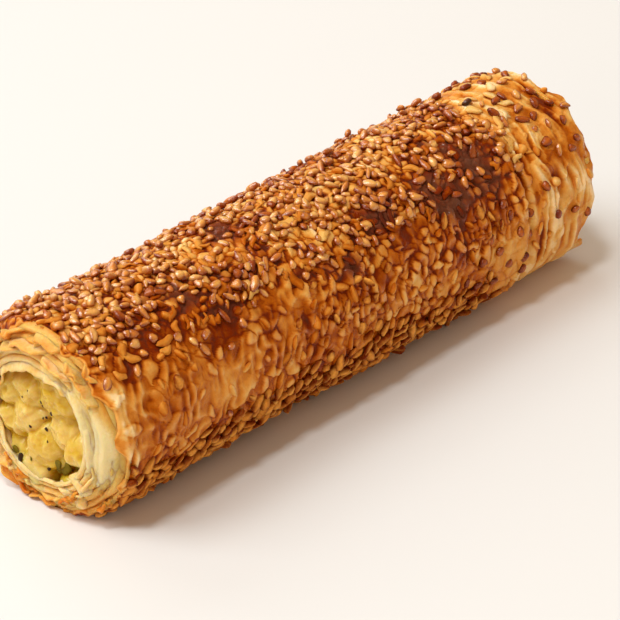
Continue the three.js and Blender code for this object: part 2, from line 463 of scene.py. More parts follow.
# stretched strands of dough, wide and thin
def strands(x, deg):
    bent = x - 3 * np.sin(np.radians(deg)) + 2.0 * rollGrain(x, deg, 9, 9, 18)
    bent += 0.6 * rollGrain(x, deg, 3, 4, 19)
    wide = ridged(bent, deg, 4.4, 16, 7, 2.5) * np.clip(0.6 + 1.0 * rollGrain(x, deg, 7, 6, 20), 0, 1.3)
    thin = ridged(bent, deg, 1.5, 12, 8, 2.4) * np.clip(0.6 + 0.9 * rollGrain(x, deg, 4, 5, 22), 0, 1.3)
    return wide, thin


# strands run over the far band, and down the sides of the near rim
def bandShare(x):
    return fade(zone["waistX"] - 2, zone["waistX"] + 2, x)


def rimShare(x, deg):
    down = np.abs(deg)
    return (1 - fade(nearX + 5, nearX + 12, x)) * fade(36, 58, down) * (1 - fade(100, 118, down))


# wrinkles of the skin that run down the sides
def drapes(x, deg):
    bent = x + 1.9 * rollGrain(x, deg, 5, 5, 16) + 0.12 * np.radians(deg) * crustRadius
    return ridged(bent, deg, 2.9, 5.5, 4, 2.2), ridged(bent, deg, 1.7, 3.2, 5, 2.2)


# how far the shown side sags outward low down, in steps along the roll: start, end, rise
belly = {"deg": 128, "half": 30, "steps": [(-15, 5, 1.5), (34, 48, 0.9)]}


def bulge(x, deg):
    lowDown = bell((np.mod(deg, 360) - belly["deg"]) / belly["half"])
    return lowDown * sum(rise * fade(start, stop, x) for start, stop, rise in belly["steps"])


# heights on the crust; pairs are broad and narrow wrinkles, wide and thin strands, a fold's rise and dip
relief = {
    "swells": (0.45, 0.25), "sideDrapes": (0.34, 0.29), "otherDrapes": (0.12, 0.08),
    "bandStrands": (0.55, 0.42), "rimStrands": (0.35, 0.4), "waist": (0.8, -1.3), "seam": (0.45, -0.3),
    "roundBack": 7, "nearDrop": 1.2, "farDrop": 0.6, "mouthCurve": 0.72, "mouthProud": 0.8,
}


# the crust's height over its radius, before seeds and skin plates
def crustHeight(x, deg):
    top, side, low, _ = zones(x, deg)
    height = blend(relief["swells"], (rollGrain(x, deg, 16, 16, 1), rollGrain(x, deg, 6, 7, 2)))
    for drape, onSide, other in zip(drapes(x, deg), relief["sideDrapes"], relief["otherDrapes"]):
        height += (onSide * side + other * (top + low)) * drape
    fold = x - zone["waistX"] - 0.9 * roundGrain(deg, 10, 6)
    seam = x - zone["seamX"] - zone["seamSlant"] * np.sin(np.radians(deg))
    height += blend(relief["waist"], (bell((fold + 2.8) / 2.0), bell(fold / 1.2)))
    strand = strands(x, deg)
    height += bandShare(x) * blend(relief["bandStrands"], strand)
    height += rimShare(x, deg) * blend(relief["rimStrands"], strand)
    height += blend(relief["seam"], (bell(seam / 2.4), bell((seam - 3.2) / 1.2)))
    height += bulge(x, deg) - roundOff(farX - x, relief["farDrop"]) - roundOff(x - nearX, relief["nearDrop"])
    near = ends[0]
    mouth = near["back"] + near["flapBack"] * flapped(deg)
    slope = np.clip((x - nearX - near["lip"]) / mouth, 0, 1) ** relief["mouthCurve"]
    return np.where(slope < 1, np.minimum(height, (slope - 1) * wall + relief["mouthProud"]), height)


# the two ends: the spiral starts at the lead, warp bends the potato's lumps, the notch is in the rim
notchDeg, notchHalf = 117, 11
ends = [
    {"name": "near", "x": nearX, "sign": 1, "seed": 31, "lead": -150.0, "warp": 1.0,
     "lip": 0.5, "back": 2.7, "flapBack": 2.4, "notch": 0.0},
    {"name": "far", "x": farX, "sign": -1, "seed": 41, "lead": 40.0, "warp": 1.7,
     "lip": 0.5, "back": 1.3, "flapBack": 0.4, "notch": 2.4},
]


# a place along the roll, given by its way back from an end's tip
def inward(end, back):
    return end["x"] + end["sign"] * back


# how far back from an end's tip the wall of layers stands, from the filling (0) to the crust (1)
def terrace(end, deg, share):
    notch = end["notch"] * bell((np.mod(deg, 360) - notchDeg) / notchHalf)
    back = end["lip"] + end["back"] * share ** 1.3 + end["flapBack"] * flapped(deg) * share ** 1.5
    return back + notch * share ** 2


# the crust's free edge waves, and runs down over the layers in drips: angle, half width, length
drips = {
    "near": [(49, 9, 1.3), (84, 7, 1.6), (22, 6, 0.8), (113, 6, 1.2), (-28, 8, 1.0), (-70, 9, 1.4),
             (-105, 7, 1.2)],
    "far": [(22, 45, 1.4), (30, 7, 1.5), (75, 6, 1.2), (-40, 8, 1.5), (-95, 7, 1.2)],
}


def crustEdge(end, deg):
    wave = 0
    for rise, size, extra in ((1.2, 6, 5), (0.7, 2.6, 6), (0.35, 1.3, 9)):
        wave += rise * roundGrain(deg, size, end["seed"] + extra)
    wave -= sum(length * bell((deg - place) / half) for place, half, length in drips[end["name"]])
    return inward(end, terrace(end, deg, 1.0) + wave)


# sesame, placed by throwing darts; each zone has its least spacing, and sizes are length, width, thickness
sesame = {
    "throws": 60000, "reach": 148, "edgeMargin": 0.7, "clumping": 1.0, "lowEndX": 45,
    "upperThrows": 4000, "upperSpan": (-62, 48), "upperSpacing": 3.2,
    "spacing": {"top": 1.62, "side": 2.9, "low": 1.8, "far": 3.2},
    "moreSpacing": {"farLow": 2.5, "smooth": 2.6, "burnt": 3.0, "waist": 2.2},
    "topSize": (2.62, 1.45, 1.14), "sideSize": (2.85, 1.5, 1.05), "lowSize": (2.95, 1.8, 1.3),
    "loneSize": (2.3, 1.6, 1.3), "nub": (0.78, 1.02, 1.15), "spread": 0.22,
    # shares of the seeds on top and on the sides
    "nubs": (0.28, 0.15), "buried": (0.08, 0.58), "skinned": (0.26, 0.88),
    # how far seeds spin, pitch and roll at random; how deep they sit, in shares of the thickness
    "downSpin": 0.75, "slantSpin": 0.4, "slant": 0.85, "pitch": 0.26, "roll": 0.32, "sunk": 0.26,
    "skinnedSunk": 0.53,
}
# seeds that show singly: a black one and the burnt ones sunk in the far band
loneSeeds = [
    (55, 1), (53, 82), (52, 95), (50, 106), (44.5, 68), (67.5, 94), (60, 88), (58, 70), (70, 58),
    (48, 88), (72, -25), (72.5, -8), (71.5, 14), (72.5, 27), (72, 41), (72.5, 54), (66, -12), (62, -30),
    (66, 30), (72, 100), (42, 95), (46, 76), (36, 96), (39, 84), (31, 104), (45, 106), (35, 110),
    (50, 114), (41, 114),
]
# between the seeds the skin has dried into plates with cracks round them
plates = {
    "throws": 24000, "spacing": 1.9, "size": (3.3, 2.1), "spread": 0.3, "warp": 0.85, "tilt": 0.36,
    "tone": 0.09, "nearest": 5,
}


# the first darts, as many as are settled, stay wherever they are
def dartThrow(xs, degs, gap, settled=0):
    around = np.radians(degs) * crustRadius
    cells, kept, size = {}, [], 2.0
    for index in range(len(xs)):
        cell = int(xs[index] // size), int(around[index] // size)
        reach = int(gap[index] // size) + 1
        near = (cells.get((cell[0] + i, cell[1] + j), ()) for i in range(-reach, reach + 1)
                for j in range(-reach, reach + 1))
        if index < settled or all(math.hypot(xs[index] - xs[k], around[index] - around[k]) > gap[index]
                                  for hit in near for k in hit):
            cells.setdefault(cell, []).append(index)
            kept.append(index)
    return np.array(kept)


def seedGap(xs, degs):
    top, side, low, far = zones(xs, degs)
    spacing, more = sesame["spacing"], sesame["moreSpacing"]
    gap = zoned(spacing, top, side, low)
    gap += sesame["clumping"] * (top + 0.8 * side) * fade(-0.1, 0.5, rollGrain(xs, degs, 7, 7, 21))
    gap = gap * (1 - far) + (spacing["far"] + more["farLow"] * low) * far
    gap += more["smooth"] * smoothness(xs, degs)
    gap += more["burnt"] * np.clip(patchwork(xs, degs)[0] - 0.18, 0, 0.25)
    return gap + more["waist"] * bell((xs - zone["waistX"]) / 1.6) * (1 - far)


def onCrust(xs, degs, margin):
    return (xs > crustEdge(ends[0], degs) + margin) & (xs < crustEdge(ends[1], degs) - margin)


def scatterSeeds(rng):
    xs = np.concatenate([[x for x, _ in loneSeeds], rng.uniform(nearX, farX, sesame["throws"])])
    degs = rng.uniform(-sesame["reach"], sesame["reach"], len(xs))
    degs[:len(loneSeeds)] = [deg for _, deg in loneSeeds]
    low, far = zones(xs, degs)[2:]
    room = onCrust(xs, degs, sesame["edgeMargin"]) & ((far * low < 0.25) | (xs < sesame["lowEndX"]))
    room[:len(loneSeeds)] = True
    xs, degs = xs[room], degs[room]
    lower = dartThrow(xs, degs, seedGap(xs, degs), len(loneSeeds))
    upX = rng.uniform(nearX + 5, zone["waistX"] - 3, sesame["upperThrows"])
    upDeg = rng.uniform(*sesame["upperSpan"], sesame["upperThrows"])
    crowded = seedGap(upX, upDeg) < sesame["spacing"]["top"] + 0.4
    upX, upDeg = upX[crowded], upDeg[crowded]
    upper = dartThrow(upX, upDeg, np.full(len(upX), sesame["upperSpacing"]))
    storey = np.repeat([0, 1], [len(lower), len(upper)])
    return np.concatenate([xs[lower], upX[upper]]), np.concatenate([degs[lower], upDeg[upper]]), storey


seedRng = np.random.default_rng(4)
seedX, seedDeg, seedStorey = scatterSeeds(seedRng)
seedCount = len(seedX)


def evenDraw():
    return seedRng.uniform(size=seedCount)


def bellDraw():
    return seedRng.normal(size=seedCount)


def shareOfSeeds(key):
    return sesame[key][0] * seedTop + sesame[key][1] * seedSide


seedTop, seedSide, seedLow, seedFar = zones(seedX, seedDeg)
seedBakeAndShade = bakeAndShadeAt(seedX, seedDeg)
seedSize = sum(np.outer(share, sesame[key]) for share, key in
               ((seedTop, "topSize"), (seedSide, "sideSize"), (seedLow, "lowSize")))
seedSize *= np.clip(1 + sesame["spread"] * seedRng.normal(size=(seedCount, 3)), 0.65, 1.4)
seedNub = (evenDraw() < shareOfSeeds("nubs"))[:, None]
seedSize *= np.where(seedNub, sesame["nub"], 1.0)
seedLone = np.arange(seedCount) < len(loneSeeds)
seedSize[seedLone] = sesame["loneSize"]
seedLength, seedWidth, seedThick = seedSize.T
seedDepth = evenDraw() + seedStorey + seedLone
seedBuried = seedDepth < shareOfSeeds("buried")
seedSkinned = (seedDepth < shareOfSeeds("skinned")) & ~seedBuried
freeSpin = seedRng.uniform(0, 2 * np.pi, seedCount)
flip = np.pi * (evenDraw() > 0.5)
downSpin = np.pi / 2 + flip + sesame["downSpin"] * bellDraw()
slantSpin = -sesame["slant"] * np.sign(seedDeg) + flip + sesame["slantSpin"] * bellDraw()
seedSpin = np.where(seedLow > 0.5, slantSpin, np.where(seedSide > 0.5, downSpin, freeSpin))
seedPitch = bellDraw() * (sesame["pitch"] + 0.02 * seedLow)
seedRoll = bellDraw() * (sesame["roll"] + 0.06 * seedLow)
seedSunk = sesame["sunk"] + 0.1 * seedSide + 0.04 * seedLow + 0.1 * bellDraw()
seedSunk = np.where(seedSkinned, sesame["skinnedSunk"], seedSunk) + 0.18 * seedLone - 0.1 * (seedFar > 0.5)
print("seeds placed:", seedCount, "skinned:", int(seedSkinned.sum()), "buried:", int(seedBuried.sum()))


def scatterPlates(rng):
    lower = np.where(seedStorey == 0)[0]
    xs = np.concatenate([seedX[lower], rng.uniform(nearX, farX, plates["throws"])])
    degs = np.concatenate([seedDeg[lower], rng.uniform(-180, 180, plates["throws"])])
    gap = plates["spacing"] - 0.5 * zones(xs, degs)[0] + 2.5 * smoothness(xs, degs)
    kept = dartThrow(xs, degs, gap, len(lower))
    fresh = kept[len(lower):]
    size = np.array(plates["size"]) * (1 + plates["spread"] * rng.normal(size=(len(fresh), 2)))
    free = zones(xs[fresh], degs[fresh])[0]
    spin = np.pi / 2 + 0.8 * rng.normal(size=len(fresh)) + rng.uniform(0, 3, len(fresh)) * free

    def both(ofSeeds, ofPlates):
        return np.concatenate([np.broadcast_to(ofSeeds, len(lower)), np.broadcast_to(ofPlates, len(fresh))])

    return {
        "x": xs[kept], "deg": degs[kept], "spin": both(seedSpin[lower], spin),
        "length": both(seedLength[lower], size[:, 0]), "width": both(seedWidth[lower], size[:, 1]),
        "plate": both(0.0, 1.0), "buried": both(seedBuried[lower] * 1.0, 0.0),
        "tilt": both(0.0, rng.uniform(-1, 1, len(fresh))), "tone": both(0.0, rng.normal(size=len(fresh))),
    }


sites = scatterPlates(np.random.default_rng(6))
print("skin plates:", int(sites["plate"].sum()))


# how near each crust point is to the middle of its own seed or plate (1 at the rim) and of the next one
def nearestSites(points, x, deg):
    homes = onRoll(sites["x"], sites["deg"], crustRadius)
    tree = KDTree(len(homes))
    for index, home in enumerate(homes):
        tree.insert(home, index)
    tree.balance()
    hits = np.array([[k for _, k, _ in tree.find_n(point, plates["nearest"])] for point in points])
    site = {key: values[hits] for key, values in sites.items()}
    bend = plates["warp"] * (0.6 + 0.4 * site["plate"])
    along = x[:, None] + bend * rollGrain(x, deg, 1.7, 1.7, 14)[:, None] - site["x"]
    around = np.radians(deg[:, None] - site["deg"]) * crustRadius
    around += bend * rollGrain(x, deg, 1.7, 1.7, 15)[:, None]
    lengthways, sideways = turned(along, around, site["spin"])
    slope = sideways / (site["width"] / 2)
    ratio = np.hypot(lengthways / (site["length"] / 2), slope)
    order = np.argsort(ratio, axis=1)
    pick, own = np.arange(len(points)), order[:, 0]
    return ratio[pick, own], ratio[pick, order[:, 1]], np.clip(slope[pick, own], -1.2, 1.2), hits[pick, own]


def blurred(grid, reach):
    rows, columns = grid.shape
    steps = range(-reach, reach + 1)
    grid = sum(grid[np.clip(np.arange(rows) + step, 0, rows - 1)] for step in steps) / len(steps)
    return sum(np.roll(grid, step, 1) for step in steps) / len(steps)


# the crust's grid, finer above; rings at its edges: way out, drop in shares of the thickness, bake
crust = {
    "alongCells": 460, "upperCells": 340, "underCells": 44, "underFrom": 142, "edgeThickness": 1.3,
    "charFrom": 0.12, "charGain": 2.2, "charLimit": 0.85,
    "freeEdge": ((0.3, 0.3, 0.26), (0.25, 0.8, 0.3), (-1.5, 1.0, 0.42), (-9.0, 1.4, 0.45)),
    "cutEdge": ((0.0, 1.4, 0.45),),
}


def crustGrid():
    foot = crust["underFrom"]
    upper = np.linspace(-foot, foot, crust["upperCells"])
    deg = np.concatenate([upper, np.linspace(foot, 360 - foot, crust["underCells"] + 2)[1:-1]])
    deg = np.where(deg > 180, deg - 360, deg)
    share = np.linspace(0, 1, crust["alongCells"])[:, None]
    return crustEdge(ends[0], deg)[None] * (1 - share) + crustEdge(ends[1], deg)[None] * share, deg


# what the dried skin adds to the height, and to the bake: its own tones, and painted shade in its cracks,
# hollows, collars round seeds, gaps between seeds and rims of buried seeds
skinRise = {"dome": 0.22, "topDome": 0.12, "crack": 0.24, "collar": 0.1, "mound": 0.46, "grain": 0.05}
skinToneAndShade = {
    "crack": 0.1, "topCrack": 0.06, "collar": 0.08, "hollow": 0.65, "farHollow": 0.18, "sideGap": 0.06,
    "topGap": 0.22, "moundRim": 0.12, "mound": 0.05, "band": (0.22, 0.24, -0.13), "rim": (0.14, 0.2, -0.06),
    "waist": 0.18, "mouth": 0.22,
}


# the grid's height, bake with its painted shade, gloss and char, with the skin dried round its seeds and
# plates
def crustSkin(xs, degs):
    top, side, low, far = zones(xs, degs)
    flatX, flatDeg = xs.ravel(), degs.ravel()
    found = nearestSites(onRoll(flatX, flatDeg, crustRadius), flatX, flatDeg)
    first, second, slope, which = (value.reshape(xs.shape) for value in found)
    plate, buried = sites["plate"][which], sites["buried"][which]
    smooth, rim, band = smoothness(xs, degs), rimShare(xs, degs), bandShare(xs)
    still = (1 - 0.8 * band) * (1 - 0.6 * rim) * (1 - 0.85 * smooth)
    crack = bell((second - first) / 0.28) * still
    dome = hump(first / 1.4) * still
    mound = hump(first / 1.2)
    collar = bell((first - 1.15) / 0.28) * (1 - plate) * (1 - buried)
    height = crustHeight(xs, degs) + plate * dome * (skinRise["dome"] + skinRise["topDome"] * top)
    height += skinRise["mound"] * buried * mound + skinRise["collar"] * collar - skinRise["crack"] * crack
    height += plates["tilt"] * sites["tilt"][which] * slope * still * (1 - crack)
    height += skinRise["grain"] * rollGrain(xs, degs, 0.9, 0.9, 9)
    hollow = np.clip(blurred(height, 4) - height, -0.28, 0.34)
    gloss = fade(0.05, 0.24, -hollow) * (0.75 * side + 0.5 * top + 0.3 * low)
    gloss *= (1 - 0.7 * fade(80, 104, np.abs(degs)))
    bare, gap = (1 - smooth) * side * (1 - far), fade(0.8, 1.3, first)
    # painted shade: the bake darkens the cracks, the collars round seeds, the hollows under the blurred
    # height, the gaps between seeds and the rims of buried seeds
    bakeAndShade = bakeAndShadeAt(xs, degs) + (skinToneAndShade["crack"] + skinToneAndShade["topCrack"] * top) * crack
    bakeAndShade += skinToneAndShade["collar"] * collar
    bakeAndShade += (skinToneAndShade["hollow"] * (1 - far) + skinToneAndShade["farHollow"] * far) * hollow
    bakeAndShade += gap * (skinToneAndShade["sideGap"] * bare + skinToneAndShade["topGap"] * top * (1 - far))
    bakeAndShade += buried * (skinToneAndShade["moundRim"] * bell((first - 1.2) / 0.22) - skinToneAndShade["mound"] * mound)
    bakeAndShade += plates["tone"] * sites["tone"][which] * (1 - crack)
    strand = (*strands(xs, degs), 1)
    bakeAndShade -= band * blend(skinToneAndShade["band"], strand)
    bakeAndShade -= rim * blend(skinToneAndShade["rim"], strand)
    bakeAndShade += skinToneAndShade["waist"] * bell(xs - zone["waistX"] + 1.0) * (1 - 0.5 * far)
    bakeAndShade -= skinToneAndShade["mouth"] * (1 - fade(0, 3.5, xs - crustEdge(ends[0], degs))) * fade(30, 60, degs)
    char = (patchwork(xs, degs)[0] - crust["charFrom"]) * crust["charGain"] * (1 - far)
    return height, {"bakeAndShade": bakeAndShade, "gloss": gloss, "char": np.clip(char, 0, crust["charLimit"])}


# two halves, each closed inside; a free edge is rounded over and runs back under the layers
def makeCrust():
    xs, deg = crustGrid()
    degs = np.broadcast_to(deg, xs.shape)
    height, skin = crustSkin(xs, degs)
    outer = onRoll(xs, degs, crustRadius + height)
    normal = np.cross(np.roll(outer, -1, 1) - np.roll(outer, 1, 1), np.gradient(outer, axis=0))
    normal /= np.linalg.norm(normal, axis=-1, keepdims=True)
    free, cut, middle = crust["freeEdge"], crust["cutEdge"], crust["alongCells"] // 2
    halves = {"crust_near": (0, middle + 1, free, cut), "crust_far": (middle, len(xs), cut, free)}
    for name, (start, stop, first, last) in halves.items():
        rings, bakes = [], []
        for row, sign, steps in ((stop - 1, 1, last), (start, -1, first[::-1])):
            for out, drop, tone in steps:
                reach = crustRadius + height[row] - drop * crust["edgeThickness"]
                rings.append(onRoll(xs[row] + sign * out, deg, reach))
                bakes.append(np.full(len(deg), tone))
        plain = np.zeros((len(rings), len(deg)))
        inner = {"bakeAndShade": np.array(bakes), "gloss": plain, "char": plain}
        values = {key: np.concatenate([skin[key][start:stop], inner[key]]) for key in skin}
        points = np.concatenate([outer[start:stop], np.array(rings)])
        faces = gridFaces(len(points), len(deg), True, True)
        piece = pastryPiece(name, points, faces, values, crustFinish)
        facing = [vertex.normal[:] for vertex in piece.data.vertices]
        facing[:(stop - start) * len(deg)] = normal[start:stop].reshape(-1, 3).tolist()
        piece.data.normals_split_custom_set_from_vertices(facing)


makeCrust()

# the seed's own form: a flat drop, blunt at one end, in several uneven variants
seedForm = {"rings": 6, "sides": 8, "variants": 28, "unevenness": 0.22}


def seedVariants():
    rings, sides = seedForm["rings"], seedForm["sides"]
    rng = np.random.default_rng(8)
    places = -np.cos(np.linspace(0, np.pi, rings + 2)[1:-1]) * 0.5
    turn = np.linspace(0, 2 * np.pi, sides, endpoint=False)
    variants = []
    for number in range(seedForm["variants"]):
        taper, bend, skew = rng.uniform(0.0, 0.65), rng.normal() * 0.35, rng.normal() * 0.3
        half = np.sqrt(0.25 - places ** 2) ** rng.uniform(0.7, 0.95)
        wide = (half * (1 - taper * places))[:, None] * np.cos(turn) + (skew * places ** 2)[:, None]
        tall = (half * (1 - 0.4 * taper * places))[:, None] * np.sin(turn) * 0.95
        tall += (bend * (places ** 2 - 0.1))[:, None]
        body = np.stack([np.broadcast_to(places[:, None], wide.shape), wide, tall], -1).reshape(-1, 3)
        tips = np.array([[-0.5, skew * 0.25, bend * 0.15], [0.5, skew * 0.25, bend * 0.15]])
        points = np.concatenate([tips[:1], body, tips[1:]])
        swell = 1 + seedForm["unevenness"] * grain(points * 2.8 + 9 + number * 5.3, number)
        variants.append(points * swell[:, None])
    # painted shade on the seed's edges and underside; the pointed tip is browner
    rim = np.abs(np.cos(turn)) ** 1.1 * 0.85 + 0.7 * (np.sin(turn) < -0.2)
    rimsAndShade = np.clip(rim[None] + 0.9 * np.clip(places, 0, 1)[:, None], 0, 1).ravel()
    rimsAndShade = np.concatenate([[0.75], rimsAndShade, [1.0]])
    last = rings * sides + 1
    end = last - sides
    faces = [[0, 1 + j, 1 + (j + 1) % sides] for j in range(sides)]
    faces += [face[::-1] for face in gridFaces(rings, sides, False, True, 1)]
    faces += [[end + (j + 1) % sides, end + j, last] for j in range(sides)]
    return np.array(variants), faces, rimsAndShade


seedShapes, seedFaces, seedRimsAndShade = seedVariants()
seedVariant = seedRng.integers(seedForm["variants"], size=seedCount)


def makeSeeds(name, chosen, material, values):
    turn = np.radians(seedDeg[chosen])
    zero = np.zeros_like(turn)
    outward = np.stack([zero, -np.sin(turn), np.cos(turn)], -1)
    down = np.stack([zero, -np.cos(turn), -np.sin(turn)], -1)
    along = np.stack([zero + 1, zero, zero], -1)
    spin, pitch, roll = (angle[chosen][:, None] for angle in (seedSpin, seedPitch, seedRoll))
    long, wide = turned(along, down, spin)
    long, up = turned(long, outward, pitch)
    wide, up = turned(wide, up, roll)
    lift = seedThick[chosen] * (0.5 - seedSunk[chosen] + 0.5 * seedStorey[chosen])
    lift += 0.22 * np.abs(np.sin(seedPitch[chosen])) * seedLength[chosen]
    reach = crustRadius + crustHeight(seedX[chosen], seedDeg[chosen]) + lift
    home = onRoll(seedX[chosen], seedDeg[chosen], reach)[:, None]
    shape = seedShapes[seedVariant[chosen]] * seedSize[chosen][:, None]
    points = home + sum(shape[..., k:k + 1] * axis[:, None] for k, axis in enumerate((long, wide, up)))
    count = shape.shape[1]
    faces = [[v + index * count for v in face] for index in range(len(turn)) for face in seedFaces]
    pastryPiece(name, points, faces, values, material)


# kinds of seed: crown, deeper and rim colour, shine, coat; the rim colour paints the shade on edges and
# undersides; those low down and on the sides are dull
seedKinds = {
    "seeds_pale": ((0.93, 0.5, 0.13), (0.8, 0.32, 0.036), (0.42, 0.08, 0.002), 0.95, 0.4),
    "seeds_golden": ((0.86, 0.34, 0.046), (0.63, 0.17, 0.009), (0.24, 0.022, 0.0), 0.95, 0.28),
    "seeds_toasted": ((0.56, 0.13, 0.007), (0.33, 0.048, 0.001), (0.14, 0.01, 0.0), 0.5, 0.0),
    "seeds_dark": ((0.2, 0.04, 0.004), (0.09, 0.015, 0.003), (0.04, 0.008, 0.003), 0.5, 0.0),
    "seeds_low": ((0.92, 0.42, 0.075), (0.66, 0.208, 0.017), (0.2, 0.024, 0.001), 0.06, 0.0),
}
kindSteps = [0.42, 0.9, 1.2]
seedDraw = evenDraw() + 0.6 * (seedBakeAndShade - 0.5) - 0.12 * seedStorey - 0.22 * seedSide - 0.36 * seedLow
seedDraw = seedDraw + 0.3 * (seedFar > 0.5) + 0.8 * np.clip(seedBakeAndShade - 0.64, 0, 0.3) * seedTop
seedDraw = np.minimum(seedDraw, 1.18)
seedDraw[seedLone] = 1.1
seedDraw[0] = 1.5  # the black one
seedDull = ((seedLow > 0.5) | ((seedSide > 0.6) & (seedFar < 0.5))) & ~seedLone
seedKind = np.where(seedDull, list(seedKinds).index("seeds_low"), np.digitize(seedDraw, kindSteps))
seedKind = np.where(seedSkinned | seedBuried, len(seedKinds), seedKind)
seedToast = np.clip(0.5 + 0.28 * bellDraw(), 0, 1)
for number, (name, kind) in enumerate(seedKinds.items()):
    chosen = np.where(seedKind == number)[0]
    values = {"rim": np.tile(seedRimsAndShade, len(chosen)), "toast": np.repeat(seedToast[chosen], len(seedRimsAndShade))}
    makeSeeds(name, chosen, seedFinish(name, *kind), values)
skinned = np.where(seedSkinned)[0]
skinBakeAndShade = np.repeat(seedBakeAndShade[skinned] + 0.22 * (seedToast[skinned] - 0.6), len(seedRimsAndShade))
# the rims add painted shade to the skinned seeds' bake
skinBakeAndShade = skinBakeAndShade + 0.3 * np.tile(seedRimsAndShade, len(skinned)) - 0.15
makeSeeds("seeds_skinned", skinned, crustFinish, {"bakeAndShade": skinBakeAndShade})


# a thin sheet from a grid of points and the bake of each, closed at its rim
def sheetSolid(grid, thickness, bakeAndShade):
    rows, columns = grid.shape[:2]
    normal = np.cross(np.gradient(grid, axis=0), np.gradient(grid, axis=1))
    normal /= np.maximum(np.linalg.norm(normal, axis=-1, keepdims=True), 1e-6)
    shell = normal * (thickness * np.ones((rows, columns)) / 2)[..., None]
    points = np.concatenate([(grid + shell).reshape(-1, 3), (grid - shell).reshape(-1, 3)])
    other = rows * columns
    front = [face[::-1] for face in gridFaces(rows, columns)]
    back = gridFaces(rows, columns, start=other)
    ring = [j for j in range(columns)] + [i * columns + columns - 1 for i in range(1, rows)]
    ring += [(rows - 1) * columns + j for j in range(columns - 2, -1, -1)]
    ring += [i * columns for i in range(rows - 2, 0, -1)]
    rim = [[a, b, b + other, a + other] for a, b in zip(ring, ring[1:] + ring[:1])]
    return points, front + back + rim, np.tile(bakeAndShade.ravel(), 2)


# several shapes, each (points, faces, value of every point), as one
def joined(shapes):
    points, faces, values, start = [], [], [], 0
    for found, fresh, value in shapes:
        points.append(found)
        faces += [[v + start for v in face] for face in fresh]
        values.append(np.broadcast_to(value, len(found)))
        start += len(found)
    return np.concatenate(points), faces, np.concatenate(values)


# dried curls and shreds of skin lying among the seeds
shreds = {"count": 300, "long": (2.2, 5.0), "wide": (0.8, 1.9), "thickness": 0.3, "columns": 9}


def shredShape(rng):
    x, deg = rng.uniform(nearX + 6, farX - 4), rng.uniform(-75, 52)
    long, wide, spin = rng.uniform(*shreds["long"]), rng.uniform(*shreds["wide"]), rng.uniform(0, 2 * np.pi)
    place = np.linspace(-0.5, 0.5, shreds["columns"])[:, None]
    across = np.linspace(-0.5, 0.5, 3)[None]
    taper = np.sqrt(np.clip(1.02 - (2 * place) ** 2, 0.02, 1))
    ahead = long * place
    aside = wide * across * taper + rng.normal() * 0.9 * place ** 2
    aside += 0.3 * np.sin(place * 7 + rng.uniform(0, 6))
    xs = x + ahead * math.cos(spin) - aside * math.sin(spin)
    degs = deg + np.degrees((ahead * math.sin(spin) + aside * math.cos(spin)) / crustRadius)
    arch = rng.uniform(0.1, 0.5) * (1 - 4 * place ** 2) + 0.5 * rng.uniform(-1, 1) * across * taper
    reach = crustRadius + crustHeight(xs, degs) + 0.25 + arch
    bakeAndShade = bakeAndShadeAt(np.array([x]), np.array([deg]))[0] - rng.uniform(0, 0.22)
    return sheetSolid(onRoll(xs, degs, reach), shreds["thickness"], bakeAndShade + 0.2 * np.abs(across + 0 * place))


def makeShreds():
    rng = np.random.default_rng(17)
    points, faces, bakes = joined([shredShape(rng) for _ in range(shreds["count"])])
    pastryPiece("skin_shreds", points, faces, {"bakeAndShade": bakes}, crustFinish)


makeShreds()

# the rolled sheets at an end: one long spiral whose free edge ruffles; its inner edge hangs over the filling
spiral = {
    "turns": 2.2, "depth": 9.0, "rows": 17, "columnsPerTurn": 320, "thickness": 1.0,
    "ruffle": 1.9, "hang": 2.6, "droop": 1.5, "crease": 0.45, "tipWaves": (2.1, 1.0, 1.6), "flapGap": 2.4,
}


